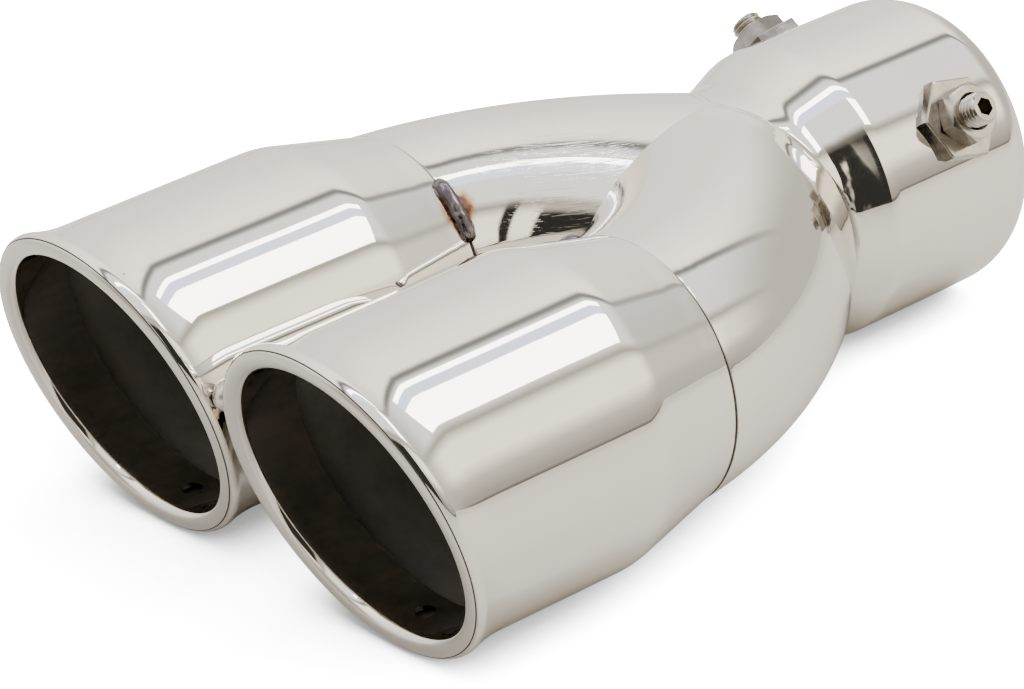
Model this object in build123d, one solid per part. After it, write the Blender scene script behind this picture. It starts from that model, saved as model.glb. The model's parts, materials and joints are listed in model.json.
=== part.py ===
from build123d import *
from math import acos, cos, degrees, radians, sin, tan
import os

# Twin exhaust tip. One clamp collar feeds two bent legs, and each leg ends in a slash-cut outlet.
# Millimetres. The origin is the centre of the inlet rim, +Y points out of the inlet, +Z is up.
# The outlets point towards -Y, the right one on +X.

# Inlet collar
COLLAR_RADIUS = 36.5
COLLAR_WALL = 3.0
COLLAR_LENGTH = 46.0
RIM_ROUND = 12.0
RIM_EDGE = 0.6
SHOULDER_LENGTH = 12.5
SHOULDER_ROUND = 8.0
NECK_LENGTH = 12.5

# Legs: a tube of one bend, from the branch point on the collar's axis to the outlet's seam
LEG_RADIUS = 31.75
LEG_WALL = 1.5
BEND_RADIUS = 95.0
BRANCH_ANGLE = 48.0
SEAM_ANGLE = 9.4

# Outlets
OUTLET_WALL = 1.2
TAPER_LENGTH = 26.0
TAPER_ROUND = 24.0
BARREL_RADIUS = 37.7
BARREL_LENGTH = 57.3
LIP_FLARE = 1.4
LIP_WIDTH = 5.8
LIP_CREST = 0.5
SLASH_ANGLE = 15.6
RETURN_LENGTH = 16.0
OUTLET_GAP = 3.4
DRAIN_DIAMETER = 5.0
DRAIN_SETBACK = 10.0

# Clamp fasteners: one on each side, at an angle round the collar from its top
SIDES = {"right": 1, "left": -1}
FASTENER_ANGLE = 57.0
FASTENER_SETBACK = 21.0
SCREW_RADIUS = 4.0
SCREW_LENGTH = 12.0
SCREW_STANDOUT = 11.2
SCREW_END_CHAMFER = 0.7
SCREW_POINT_CHAMFER = 1.3
SOCKET_FLATS = 4.0
SOCKET_DEPTH = 4.5
THREAD_CLEARANCE = 0.3
WELD_NUT_FLATS = 19.0
WELD_NUT_HEIGHT = 2.2
WELD_NUT_CHAMFER = 0.4
WELD_NUT_ANGLE = 18.0
LOCK_NUT_FLATS = 13.0
LOCK_NUT_HEIGHT = 5.0
LOCK_NUT_ANGLE = 40.0
NUT_CHAMFER_ANGLE = 30.0
NUT_FACE_SHARE = 0.98

# Raised welds
TACK_RADIUS = 4.2
TACK_HEIGHT = 11.0
TACK_SETBACK = 6.0
BEAD_RADIUS = 2.4
BEAD_SPAN = 22.0
BEAD_ANGLE = 47.0

# Sizes that follow from the ones above
COLLAR_BORE = COLLAR_RADIUS - COLLAR_WALL
NECK_BORE = LEG_RADIUS - LEG_WALL
BRANCH_Y = -(COLLAR_LENGTH + SHOULDER_LENGTH + NECK_LENGTH)
MITRE_ANGLE = BRANCH_ANGLE / 2
LIP_RADIUS = BARREL_RADIUS + LIP_FLARE
OUTLET_X = LIP_RADIUS + OUTLET_GAP / 2
BEND_END_X = OUTLET_X - BEND_RADIUS * (cos(radians(SEAM_ANGLE)) - cos(radians(BRANCH_ANGLE)))
BEND_END_Y = BRANCH_Y - BEND_END_X / tan(radians(BRANCH_ANGLE))
SEAM_Y = BEND_END_Y - BEND_RADIUS * (sin(radians(BRANCH_ANGLE)) - sin(radians(SEAM_ANGLE)))
MOUTH_RADIUS = LIP_RADIUS - LIP_WIDTH
LIP_ROUND = (LIP_WIDTH - LIP_CREST) / 2
MOUTH_Y = -(TAPER_LENGTH + BARREL_LENGTH)
HOLE_RADIUS = SCREW_RADIUS + THREAD_CLEARANCE
OVERRUN = LIP_RADIUS


def mitre_plane(side):
    """The plane where a leg meets the collar's neck, facing the leg. side is 1 for right, -1 for left."""
    angle = radians(MITRE_ANGLE)
    return Plane((0, BRANCH_Y, 0), z_dir=(side * sin(angle), -cos(angle), 0))


def slash_plane(setback):
    """The plane of an outlet's slanted mouth, moved back into the outlet by setback, facing forward."""
    angle = radians(SLASH_ANGLE)
    back = setback / cos(angle)
    return Plane((0, MOUTH_Y + back, 0), z_dir=(0, -cos(angle), -sin(angle)))


def revolved(outline):
    """A solid turned about the Y axis from a closed outline of (radius, y) lines."""
    return revolve(make_face(outline), axis=Axis.Y)


def make_collar():
    """The spun collar, with its rim eased off outside, its neck cut to a V and a hole for each screw."""
    shoulder_y = -(COLLAR_LENGTH + SHOULDER_LENGTH)
    neck_end = BRANCH_Y - LEG_WALL
    rim_turn = acos(1 - (COLLAR_WALL - RIM_EDGE) / RIM_ROUND)
    rim_start = (COLLAR_RADIUS, -RIM_ROUND * sin(rim_turn))
    rim = JernArc(rim_start, (0, 1), RIM_ROUND, degrees(rim_turn))
    walls = FilletPolyline(
        rim @ 1,
        (COLLAR_BORE, 0),
        (COLLAR_BORE, -COLLAR_LENGTH),
        (NECK_BORE, shoulder_y),
        (NECK_BORE, neck_end),
        (LEG_RADIUS, neck_end),
        (LEG_RADIUS, shoulder_y),
        (COLLAR_RADIUS, -COLLAR_LENGTH),
        rim @ 0,
        radius=[0, SHOULDER_ROUND, SHOULDER_ROUND, 0, 0, SHOULDER_ROUND, SHOULDER_ROUND],
    )
    collar = revolved(rim + walls)
    for side in SIDES.values():
        collar = split(collar, bisect_by=mitre_plane(side), keep=Keep.BOTTOM)
        collar -= fastener_place(side) * screw_hole()
    return collar


def leg_path():
    """The right leg's centre line, run past the seam and past the middle plane so that cuts trim it."""
    seam_run = degrees(OVERRUN / BEND_RADIUS)
    seam = Vector(OUTLET_X, SEAM_Y)
    along = radians(SEAM_ANGLE)
    centre = seam - BEND_RADIUS * Vector(cos(along), sin(along))
    bend = CenterArc(centre, BEND_RADIUS, SEAM_ANGLE - seam_run, BRANCH_ANGLE - SEAM_ANGLE + seam_run)
    straight = BEND_END_X / sin(radians(BRANCH_ANGLE)) + 2 * LEG_RADIUS
    run = Line(bend @ 1, bend @ 1 + straight * (bend % 1))
    return bend + run


def make_right_leg(radius):
    """A solid bar along the right leg, trimmed at the seam, the middle plane and the collar's mitre."""
    path = leg_path()
    start = Plane(path @ 0, z_dir=path % 0)
    bar = sweep(start * Circle(radius), path=path)
    bar = split(bar, bisect_by=Plane.YZ, keep=Keep.TOP)
    bar = split(bar, bisect_by=Plane((0, SEAM_Y, 0), z_dir=(0, 1, 0)), keep=Keep.TOP)
    return split(bar, bisect_by=mitre_plane(1), keep=Keep.TOP)


def barrel(wall):
    """The outlet's form about its own axis, inset by wall, run past the mouth and with its seam at y = 0."""
    flare = LIP_FLARE / BARREL_LENGTH
    front = MOUTH_Y - OVERRUN
    outline = FilletPolyline(
        (0, 0),
        (LEG_RADIUS - wall, 0),
        (BARREL_RADIUS - wall, -TAPER_LENGTH),
        (LIP_RADIUS + flare * OVERRUN - wall, front),
        (0, front),
        radius=[0, 0, TAPER_ROUND, 0, 0],
        close=True,
    )
    return revolved(outline)


def mouth_core(radius):
    """A bar on the outlet's axis, from the end of the return flange forward past the mouth."""
    length = -MOUTH_Y + 2 * OVERRUN
    bar = Pos(0, MOUTH_Y / 2, 0) * Rot(90, 0, 0) * Cylinder(radius, length)
    return split(bar, bisect_by=slash_plane(RETURN_LENGTH), keep=Keep.TOP)


def rounded_mouth(ring, radius):
    """Rounds both edges of the slanted face at the front of a ring."""
    front = ring.faces().filter_by(GeomType.PLANE).sort_by(Axis((0, 0, 0), slash_plane(0).z_dir))[-1]
    return fillet(front.edges(), radius)


def make_outlet():
    """The outlet shell about its own axis: taper, barrel, rolled lip and return flange with its drain hole."""
    skin = split(barrel(0), bisect_by=slash_plane(0), keep=Keep.BOTTOM) - mouth_core(MOUTH_RADIUS)
    skin = rounded_mouth(skin, LIP_ROUND)
    inside = split(barrel(OUTLET_WALL), bisect_by=slash_plane(OUTLET_WALL), keep=Keep.BOTTOM)
    hollow = rounded_mouth(inside - mouth_core(MOUTH_RADIUS + OUTLET_WALL), LIP_ROUND - OUTLET_WALL)
    shell = skin - hollow
    drain_y = MOUTH_Y + MOUTH_RADIUS * tan(radians(SLASH_ANGLE)) + DRAIN_SETBACK
    drain = Pos(0, drain_y, -MOUTH_RADIUS) * Cylinder(DRAIN_DIAMETER / 2, 4 * OUTLET_WALL)
    return shell - drain


def outlet_place(side):
    """Moves an outlet from its own axis to its seam. side is 1 for right, -1 for left."""
    return Pos(side * OUTLET_X, SEAM_Y, 0)


def fastener_place(side):
    """Turns a fastener that is made at the top of the collar to its place. side is 1 for right, -1 for left."""
    return Pos(0, -FASTENER_SETBACK, 0) * Rot(0, side * FASTENER_ANGLE, 0)


def screw_hole():
    """The hole that a screw runs in, through the top of the collar and both nuts."""
    return Pos(0, 0, COLLAR_RADIUS) * Cylinder(HOLE_RADIUS, OVERRUN)


def hexagon(flats, bottom, top, turn):
    """A hexagonal prism on the Z axis, from bottom to top, turned about its axis."""
    face = RegularPolygon(flats / 2, 6, major_radius=False, rotation=turn)
    return Pos(0, 0, bottom) * extrude(face, top - bottom)


def make_weld_nut():
    """A thin hexagon nut whose underside is saddled to the collar."""
    top = COLLAR_RADIUS + WELD_NUT_HEIGHT
    nut = hexagon(WELD_NUT_FLATS, COLLAR_RADIUS / 2, top, WELD_NUT_ANGLE)
    nut = chamfer(nut.faces().sort_by(Axis.Z)[-1].edges(), WELD_NUT_CHAMFER)
    nut -= Rot(90, 0, 0) * Cylinder(COLLAR_RADIUS, OVERRUN)
    return nut - screw_hole()


def make_lock_nut():
    """A hexagon nut with both faces chamfered, seated on the weld nut."""
    bottom = COLLAR_RADIUS + WELD_NUT_HEIGHT
    top = bottom + LOCK_NUT_HEIGHT
    corner = LOCK_NUT_FLATS / 3 ** 0.5
    inset = corner - NUT_FACE_SHARE * LOCK_NUT_FLATS / 2
    drop = inset * tan(radians(NUT_CHAMFER_ANGLE))
    outline = Polyline(
        (0, bottom),
        (corner - inset, bottom),
        (corner, bottom + drop),
        (corner, top - drop),
        (corner - inset, top),
        (0, top),
        close=True,
    )
    turned = revolve(Plane.XZ * make_face(outline), axis=Axis.Z)
    nut = hexagon(LOCK_NUT_FLATS, bottom, top, LOCK_NUT_ANGLE) & turned
    return nut - screw_hole()


def make_clamp_screw():
    """A headless screw with a hexagon socket in its outer end. Its point rests inside the collar's wall."""
    outer_end = COLLAR_RADIUS + SCREW_STANDOUT
    screw = Pos(0, 0, outer_end - SCREW_LENGTH / 2) * Cylinder(SCREW_RADIUS, SCREW_LENGTH)
    screw = chamfer(screw.edges().sort_by(Axis.Z)[-1], SCREW_END_CHAMFER)
    screw = chamfer(screw.edges().sort_by(Axis.Z)[0], SCREW_POINT_CHAMFER)
    return screw - hexagon(SOCKET_FLATS, outer_end - SOCKET_DEPTH, outer_end + SOCKET_DEPTH, 0)


def make_tack(outlets):
    """The tack between the lips: a round blob trimmed to both outlets."""
    lip_y = SEAM_Y + MOUTH_Y - TACK_HEIGHT * tan(radians(SLASH_ANGLE))
    blob = Pos(0, lip_y + TACK_SETBACK, TACK_HEIGHT) * Sphere(TACK_RADIUS)
    for body in outlets:
        blob -= body
    return blob


def make_right_bead(leg_bar, outlet_body):
    """A short bead round the right outlet's seam, on the side that faces the other outlet."""
    start = -(90 + BEAD_ANGLE) - BEAD_SPAN / 2
    section = Pos(LEG_RADIUS, 0) * Circle(BEAD_RADIUS)
    bead = Rot(0, start, 0) * revolve(section, axis=Axis.Y, revolution_arc=BEAD_SPAN)
    for end in (start, start + BEAD_SPAN):
        bead += Rot(0, end, 0) * Pos(LEG_RADIUS, 0, 0) * Sphere(BEAD_RADIUS)
    return outlet_place(1) * bead - leg_bar - outlet_body


def build():
    """Every piece of the tip, by name."""
    leg_bar = make_right_leg(LEG_RADIUS)
    leg = leg_bar - make_right_leg(LEG_RADIUS - LEG_WALL)
    outlet = make_outlet()
    outlet_bodies = [outlet_place(side) * barrel(0) for side in SIDES.values()]
    bead = make_right_bead(leg_bar, outlet_bodies[0])
    pieces = {
        "inlet_collar": make_collar(),
        "right_leg": leg,
        "left_leg": mirror(leg, about=Plane.YZ),
        "right_outlet": outlet_place(1) * outlet,
        "left_outlet": outlet_place(-1) * outlet,
        "outlet_tack_weld": make_tack(outlet_bodies),
        "seam_weld_right": bead,
        "seam_weld_left": mirror(bead, about=Plane.YZ),
    }
    weld_nut = make_weld_nut()
    lock_nut = make_lock_nut()
    screw = make_clamp_screw()
    for name, side in SIDES.items():
        place = fastener_place(side)
        pieces["weld_nut_" + name] = place * weld_nut
        pieces["lock_nut_" + name] = place * lock_nut
        pieces["clamp_screw_" + name] = place * screw
    return pieces


os.makedirs("parts", exist_ok=True)
for node, piece in build().items():
    export_step(piece, f"parts/{node}.step")
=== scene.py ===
import json
from collections import namedtuple
from math import acos, asin, atan, cos, pi, radians, sin, sqrt, tan

import bmesh
import bpy
from mathutils import Matrix, Vector, noise


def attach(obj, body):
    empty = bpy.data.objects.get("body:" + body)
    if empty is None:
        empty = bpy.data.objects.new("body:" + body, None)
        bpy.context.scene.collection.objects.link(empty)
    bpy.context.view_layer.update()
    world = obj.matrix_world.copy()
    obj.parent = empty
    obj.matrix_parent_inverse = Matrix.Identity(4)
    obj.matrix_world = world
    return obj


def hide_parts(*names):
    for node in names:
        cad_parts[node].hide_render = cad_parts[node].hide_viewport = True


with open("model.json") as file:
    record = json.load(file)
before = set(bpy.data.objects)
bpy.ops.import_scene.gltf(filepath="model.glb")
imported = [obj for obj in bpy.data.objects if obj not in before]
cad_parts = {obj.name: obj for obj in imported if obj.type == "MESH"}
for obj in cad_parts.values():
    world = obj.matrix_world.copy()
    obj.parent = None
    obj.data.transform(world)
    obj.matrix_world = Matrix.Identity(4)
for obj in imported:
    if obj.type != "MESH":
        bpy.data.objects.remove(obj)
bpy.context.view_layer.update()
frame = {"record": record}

bl_info = {
    "name": "Twin exhaust tip",
    "version": (1, 0, 0),
    "blender": (4, 5, 0),
    "location": "3D View > Sidebar > Exhaust Tip",
    "description": "Dresses the twin exhaust tip in polished steel, plated fasteners and a light tent",
    "category": "Object",
}

INLET = frame["record"]["mounts"][0]["dims"]
SIDES = {"right": 1, "left": -1}
TIP_BODY = "tip"
RIM_STEPS = 12
BEND_STEPS = 10
ROUND_STEPS = 12
FLARE_STEPS = 14
COLLAR_TURNS = 288
PIPE_TURNS = 256
NUT_TURNS = 144
SCREW_TURNS = 60
SCREW_RINGS = 145
PIPE_SHARP = radians(40)
NUT_SHARP = radians(28)
SCREW_SHARP = radians(35)
WELD_SHARP = radians(60)
HEAT_REACH = 0.0072
SOCKET_KINDS = {tuple: "Vector", float: "Float", int: "Int"}

# Marks on the polished steel, in metres, their fields in the order of their shader group's inputs
Seam = namedtuple("Seam", "facing offset width wander ground")
Patch = namedtuple("Patch", "centre reach turn", defaults=(None,))
Lip = namedtuple("Lip", "facing offset depth")


def length(label, text, millimetres):
    """A size in metres, stated in millimetres."""
    return bpy.props.FloatProperty(
        name=label, description=text, default=millimetres / 1000, unit="LENGTH", precision=5
    )


def angle(label, text, degrees):
    """An angle, stated in degrees."""
    return bpy.props.FloatProperty(name=label, description=text, default=radians(degrees), subtype="ANGLE")


def share(label, text, value):
    """A plain number from 0 to 1."""
    return bpy.props.FloatProperty(
        name=label, description=text, default=value, min=0, max=1, subtype="FACTOR"
    )


def colour(label, text, red, green, blue):
    """A linear colour."""
    return bpy.props.FloatVectorProperty(
        name=label, description=text, default=(red, green, blue, 1), size=4, min=0, max=1, subtype="COLOR"
    )


class PipeSizes(bpy.types.PropertyGroup):
    """Sizes of the collar, the legs and the outlets."""

    collar_radius: length("Collar radius", "Outside of the clamp collar", 36.5)
    collar_bore: length("Collar bore", "Inside radius of the clamp collar", INLET["r_mm"])
    collar_length: length("Collar length", "Straight part of the clamp collar", 46)
    rim_round: length("Rim round", "Easing of the inlet rim", 12)
    rim_edge: length("Rim edge", "Flat left on the inlet rim", 0.6)
    shoulder_length: length("Shoulder length", "From the collar down to the neck", 12.5)
    shoulder_round: length("Shoulder round", "Rounding at both ends of the shoulder", 8)
    neck_length: length("Neck length", "From the shoulder to the branch point", 12.5)
    leg_radius: length("Leg radius", "Outside of each leg", 31.75)
    leg_wall: length("Leg wall", "Thickness of each leg", 1.5)
    bend_radius: length("Bend radius", "Centre line of each leg's bend", 95)
    branch_angle: angle("Branch angle", "Between the collar's axis and each leg at the branch", 48)
    seam_angle: angle("Seam angle", "Between the leg and the outlet's axis at their seam", 9.4)
    outlet_wall: length("Outlet wall", "Thickness of each outlet", 1.2)
    taper_length: length("Taper length", "From the leg's seam to the barrel", 26)
    taper_round: length("Taper round", "Rounding between taper and barrel", 24)
    barrel_radius: length("Barrel radius", "Outside of the barrel behind its flare", 37.7)
    barrel_length: length("Barrel length", "From the taper to the mouth, on the axis", 57.3)
    lip_radius: length("Lip radius", "Of the plain cone to the lip, which spaces the outlets", 39.1)
    lip_width: length("Lip width", "Across the rolled lip", 5.8)
    lip_crest: length("Lip crest", "Flat left on the rolled lip", 0.5)
    waist_radius: length("Waist radius", "Outside of the barrel where its flare starts", 37.3)
    crest_radius: length("Crest radius", "Largest radius of the flare, at the lip", 38.75)
    crest_round: length("Crest round", "Rounding from the flare to the mouth's face", 2.4)
    flare_angle: angle("Flare angle", "Slant of the flare where it meets the crest", 16)
    notch_angle: angle("Notch angle", "Of the fine notch in front of the crest", 50)
    notch_width: length("Notch width", "Of the fine notch", 0.35)
    notch_depth: length("Notch depth", "Of the fine notch", 0.3)
    roll_depth: length("Roll depth", "Of the duller face of the rolled lip", 0.6)
    slash_angle: angle("Slash angle", "Slant of the mouth", 15.6)
    return_length: length("Return length", "Depth of the flange inside the mouth", 16)
    outlet_gap: length("Outlet gap", "Between the two lips", 3.4)
    drain_diameter: length("Drain diameter", "Hole in the return flange", 5)
    drain_setback: length("Drain setback", "From the mouth's bottom edge to the drain hole", 10)


class FastenerSizes(bpy.types.PropertyGroup):
    """Sizes of the clamp screws and their nuts."""

    place_angle: angle("Place angle", "From the collar's top to each screw", 57)
    setback: length("Setback", "From the inlet rim to the screws", 21)
    screw_radius: length("Screw radius", "Outside of the thread", 4)
    screw_length: length("Screw length", "Whole length of a screw", 12)
    standout: length("Standout", "From the collar to the screw's outer end", 11.2)
    pitch: length("Pitch", "Of the thread", 1.25)
    thread_depth: length("Thread depth", "From crest to root", 0.62)
    end_chamfer: length("End chamfer", "At the screw's outer end", 0.7)
    point_chamfer: length("Point chamfer", "At the screw's inner end", 1.3)
    socket_flats: length("Socket flats", "Across the hexagon socket", 4)
    socket_depth: length("Socket depth", "Of the hexagon socket", 4.5)
    hole_radius: length("Hole radius", "In the collar and the nuts", 4.3)
    weld_nut_flats: length("Weld nut flats", "Across the thin weld nut", 19)
    weld_nut_height: length("Weld nut height", "Above the collar", 2.2)
    weld_nut_chamfer: length("Weld nut chamfer", "Round its top edge", 0.4)
    weld_nut_turn: angle("Weld nut turn", "About the screw's axis", 18)
    lock_nut_flats: length("Lock nut flats", "Across the lock nut", 13)
    lock_nut_height: length("Lock nut height", "Of the lock nut", 5)
    lock_nut_turn: angle("Lock nut turn", "About the screw's axis", 40)
    lock_nut_face: share("Lock nut face", "Flat face as a share of its flats", 0.98)


class WeldSizes(bpy.types.PropertyGroup):
    """Sizes of the raised welds."""

    tack_radius: length("Tack radius", "Of the blob between the lips", 4.2)
    tack_height: length("Tack height", "Above the outlets' axes", 11)
    tack_setback: length("Tack setback", "Behind the lips", 6)
    bead_radius: length("Bead radius", "Of the seam bead", 2.4)
    bead_span: angle("Bead span", "Round the outlet's seam", 22)
    bead_angle: angle("Bead angle", "From the top towards the other outlet", 47)


class TipFinish(bpy.types.PropertyGroup):
    """Colours and polish of the steel."""

    steel: colour("Polished steel", "Mirror polished stainless", 0.74, 0.695, 0.615)
    inside: colour("Pipe inside", "Unpolished and sooted wall", 0.11, 0.102, 0.092)
    plating: colour("Plated steel", "Nuts and screws", 0.5, 0.455, 0.385)
    # Painted shade on the fasteners: laid on the nuts' standing sides, in the thread roots and down the
    # screw sockets
    fastener_shade: colour("Dirt", "Burnt and greasy places on the fasteners", 0.05, 0.042, 0.035)
    weld: colour("Weld metal", "Raised beads", 0.14, 0.128, 0.124)
    tack: colour("Tack", "Bright weld metal between the lips", 0.6, 0.57, 0.52)
    seam: colour("Seam line", "Shade in the polished seams", 0.16, 0.14, 0.12)
    gloss: share("Polish roughness", "Of the mirror polished steel", 0.035)


class StudioLook(bpy.types.PropertyGroup):
    """Camera, floor and light tent."""

    lens: bpy.props.FloatProperty(name="Lens", description="Focal length in millimetres", default=146.0)
    eye: bpy.props.FloatVectorProperty(
        name="Camera place", description="Of the camera", default=(0.645, -0.6833, 0.4147), subtype="XYZ"
    )
    azimuth: angle("Azimuth", "Round the object, from the outlets' side towards the right", 49.69)
    elevation: angle("Elevation", "Above the horizon", 26.48)
    roll: angle("Roll", "Of the camera about its own axis", -3.48)
    floor_front: length("Floor at the lips", "Height of the floor under the lips", -38.82)
    floor_tone: colour("Floor", "White table", 0.72, 0.7, 0.66)
    tent: bpy.props.FloatProperty(name="Tent light", description="Strength of the light tent", default=2.0)
    roof_height: length("Roof height", "Of the roof window, above the tip's axis", 700)
    roof_front: length("Roof front", "Front end of the roof window", -600)
    window_front: length("Window front", "Front end of the wide pane", 160)
    roof_back: length("Roof back", "Back end of the roof window", 510)


class ExhaustTip(bpy.types.PropertyGroup):
    """Everything that a user would change."""

    pipe: bpy.props.PointerProperty(type=PipeSizes, name="Pipes", description="Collar, legs and outlets")
    fastener: bpy.props.PointerProperty(type=FastenerSizes, name="Fasteners", description="Screws and nuts")
    weld: bpy.props.PointerProperty(type=WeldSizes, name="Welds", description="Tack and beads")
    finish: bpy.props.PointerProperty(type=TipFinish, name="Finish", description="Colours and polish")
    studio: bpy.props.PointerProperty(type=StudioLook, name="Studio", description="Camera and light")


def settings():
    """The scene's own settings of the tip."""
    return bpy.context.scene.exhaust_tip


# Places that follow from the sizes


class PipePlan:
    """The shared lines of the pipework, worked out from its sizes."""

    def __init__(self, pipe):
        self.branch_y = -(pipe.collar_length + pipe.shoulder_length + pipe.neck_length)
        self.mitre = tan(pipe.branch_angle / 2)
        self.mitre_facing = Vector((sin(pipe.branch_angle / 2), -cos(pipe.branch_angle / 2), 0))
        self.mitre_offset = self.mitre_facing.y * self.branch_y
        self.outlet_x = pipe.lip_radius + pipe.outlet_gap / 2
        reach = pipe.bend_radius * (cos(pipe.seam_angle) - cos(pipe.branch_angle))
        rise = pipe.bend_radius * (sin(pipe.branch_angle) - sin(pipe.seam_angle))
        bend_end_x = self.outlet_x - reach
        self.seam_y = self.branch_y - bend_end_x / tan(pipe.branch_angle) - rise
        self.bend_x = self.outlet_x - pipe.bend_radius * cos(pipe.seam_angle)
        self.bend_y = self.seam_y - pipe.bend_radius * sin(pipe.seam_angle)
        self.mouth_y = -(pipe.taper_length + pipe.barrel_length)
        self.flange = pipe.lip_radius - pipe.lip_width
        self.lip_round = (pipe.lip_width - pipe.lip_crest) / 2
        self.seam_radius = pipe.leg_radius

    def on_seam(self, turn):
        """A place on the right outlet's seam, at a turn from its top."""
        across = Vector((sin(turn), 0, cos(turn)))
        return Vector((self.outlet_x, self.seam_y, 0)) + self.seam_radius * across


# Mesh helpers


def outline(corners, radii, runs, steps):
    """A closed line with rounded corners and divided runs, and where each corner starts in it."""
    count = len(corners)
    arcs = []
    for i, radius in enumerate(radii):
        corner = corners[i]
        if radius == 0:
            arcs.append([corner])
            continue
        back = (corners[i - 1] - corner).normalized()
        ahead = (corners[(i + 1) % count] - corner).normalized()
        half = back.angle(ahead) / 2
        centre = corner + (back + ahead).normalized() * (radius / sin(half))
        start = corner + back * (radius / tan(half)) - centre
        end = corner + ahead * (radius / tan(half)) - centre
        sweep = pi - 2 * half
        arc = []
        for k in range(steps + 1):
            share_done = k / steps
            arm = start * sin((1 - share_done) * sweep) + end * sin(share_done * sweep)
            arc.append(centre + arm / sin(sweep))
        arcs.append(arc)
    line = []
    starts = []
    for i, arc in enumerate(arcs):
        starts.append(len(line))
        line.extend(arc)
        after = arcs[(i + 1) % count][0]
        line.extend(arc[-1].lerp(after, k / runs[i]) for k in range(1, runs[i]))
    return line, starts


def sections_round(turns, section):
    """A section for each of the even turns that go once round."""
    return [section(2 * pi * i / turns) for i in range(turns)]


def wrapped(name, sections, *inside):
    """A closed skin over sections that go once round, its inside ranges in the second material."""
    around = len(sections)
    along = len(sections[0])
    points = [point for section in sections for point in section]
    faces = []
    marks = []
    for i in range(around):
        after = (i + 1) % around
        for j in range(along):
            ahead = (j + 1) % along
            faces.append((i * along + j, i * along + ahead, after * along + ahead, after * along + j))
            marks.append(int(any(first <= j < last for first, last in inside)))
    mesh = bpy.data.meshes.new(name)
    mesh.from_pydata(points, [], faces)
    mesh.polygons.foreach_set("material_index", marks)
    return mesh


def tidy_mesh(mesh, sharp):
    """Merges doubles, turns faces outwards and shades them smooth up to the sharp angle."""
    work = bmesh.new()
    work.from_mesh(mesh)
    bmesh.ops.remove_doubles(work, verts=work.verts, dist=1e-6)
    bmesh.ops.dissolve_degenerate(work, edges=work.edges, dist=1e-7)
    bmesh.ops.recalc_face_normals(work, faces=work.faces)
    work.to_mesh(mesh)
    work.free()
    mesh.polygons.foreach_set("use_smooth", [True] * len(mesh.polygons))
    mesh.set_sharp_from_angle(angle=sharp)
    mesh.update()


def show(name, mesh, materials):
    """A new object at the origin with those materials."""
    obj = bpy.data.objects.new(name, mesh)
    bpy.context.scene.collection.objects.link(obj)
    if not mesh.materials:
        for material in materials:
            mesh.materials.append(material)
    return obj


def baked(obj):
    """Turns an object's modifiers into its mesh."""
    bpy.context.view_layer.update()
    made = bpy.data.meshes.new_from_object(obj.evaluated_get(bpy.context.evaluated_depsgraph_get()))
    obj.modifiers.clear()
    old = obj.data
    obj.data = made
    bpy.data.meshes.remove(old)
    return obj


def drill(obj, radius, start, end, material):
    """Cuts a round hole from start to end, its wall in that material."""
    axis = end - start
    place = Matrix.Translation((start + end) / 2) @ axis.to_track_quat("Z", "Y").to_matrix().to_4x4()
    work = bmesh.new()
    bmesh.ops.create_cone(
        work, cap_ends=True, segments=48, radius1=radius, radius2=radius, depth=axis.length, matrix=place
    )
    mesh = bpy.data.meshes.new("drill")
    work.to_mesh(mesh)
    work.free()
    cutter = show("drill", mesh, [material])
    modifier = obj.modifiers.new("drill", "BOOLEAN")
    modifier.operation = "DIFFERENCE"
    modifier.solver = "EXACT"
    modifier.object = cutter
    baked(obj)
    bpy.data.objects.remove(cutter)


def settle(obj, body, slot, *nodes):
    """Puts a finished piece on its body, in the place of those solids."""
    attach(obj, body)
    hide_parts(*nodes)


def mirrored(mesh, name):
    """A copy of a mesh on the other side of the middle plane."""
    copy = mesh.copy()
    copy.name = name
    copy.transform(Matrix.Scale(-1, 4, (1, 0, 0)))
    copy.flip_normals()
    return copy


# Node helpers


def feed(tree, socket, value):
    """Links a socket's value or sets a constant."""
    if isinstance(value, bpy.types.NodeSocket):
        tree.links.new(value, socket)
    elif value is not None:
        socket.default_value = value


def added(tree, kind, **inputs):
    """A new node with its inputs fed by label, with underscores for spaces."""
    node = tree.nodes.new(kind)
    for label, value in inputs.items():
        feed(tree, node.inputs[label.replace("_", " ")], value)
    return node


def calc(tree, operation, *values, kind="ShaderNodeMath", result=0):
    """A Math node's result."""
    node = tree.nodes.new(kind)
    node.operation = operation
    for socket, value in zip(node.inputs, values):
        feed(tree, socket, value)
    return node.outputs[result]


def vector_calc(tree, operation, *values, result=0):
    """A Vector Math node's result."""
    return calc(tree, operation, *values, kind="ShaderNodeVectorMath", result=result)


def times(tree, *values):
    """Values multiplied in turn."""
    product = values[0]
    for value in values[1:]:
        product = calc(tree, "MULTIPLY", product, value)
    return product


def joined(tree, x, y, z):
    """A vector from three values."""
    return added(tree, "ShaderNodeCombineXYZ", X=x, Y=y, Z=z).outputs[0]


def parted(tree, vector):
    """A vector's three values."""
    return added(tree, "ShaderNodeSeparateXYZ", Vector=vector).outputs


def one_sided(tree, vector):
    """A place brought over to the right side, so that both sides look the same."""
    x, y, z = parted(tree, vector)
    return joined(tree, calc(tree, "ABSOLUTE", x), y, z)


def grain(tree, vector, scale, detail=2.0, roughness=0.5):
    """A noise texture's value."""
    node = added(
        tree, "ShaderNodeTexNoise", Vector=vector, Scale=scale, Detail=detail, Roughness=roughness
    )
    return node.outputs["Fac"]


def spread(tree, value, low, high, to_low=0.0, to_high=1.0):
    """A value's range mapped to another, smoothly and clamped."""
    node = added(
        tree, "ShaderNodeMapRange", Value=value, From_Min=low, From_Max=high, To_Min=to_low, To_Max=to_high
    )
    node.interpolation_type = "SMOOTHSTEP"
    return node.outputs["Result"]


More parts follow.
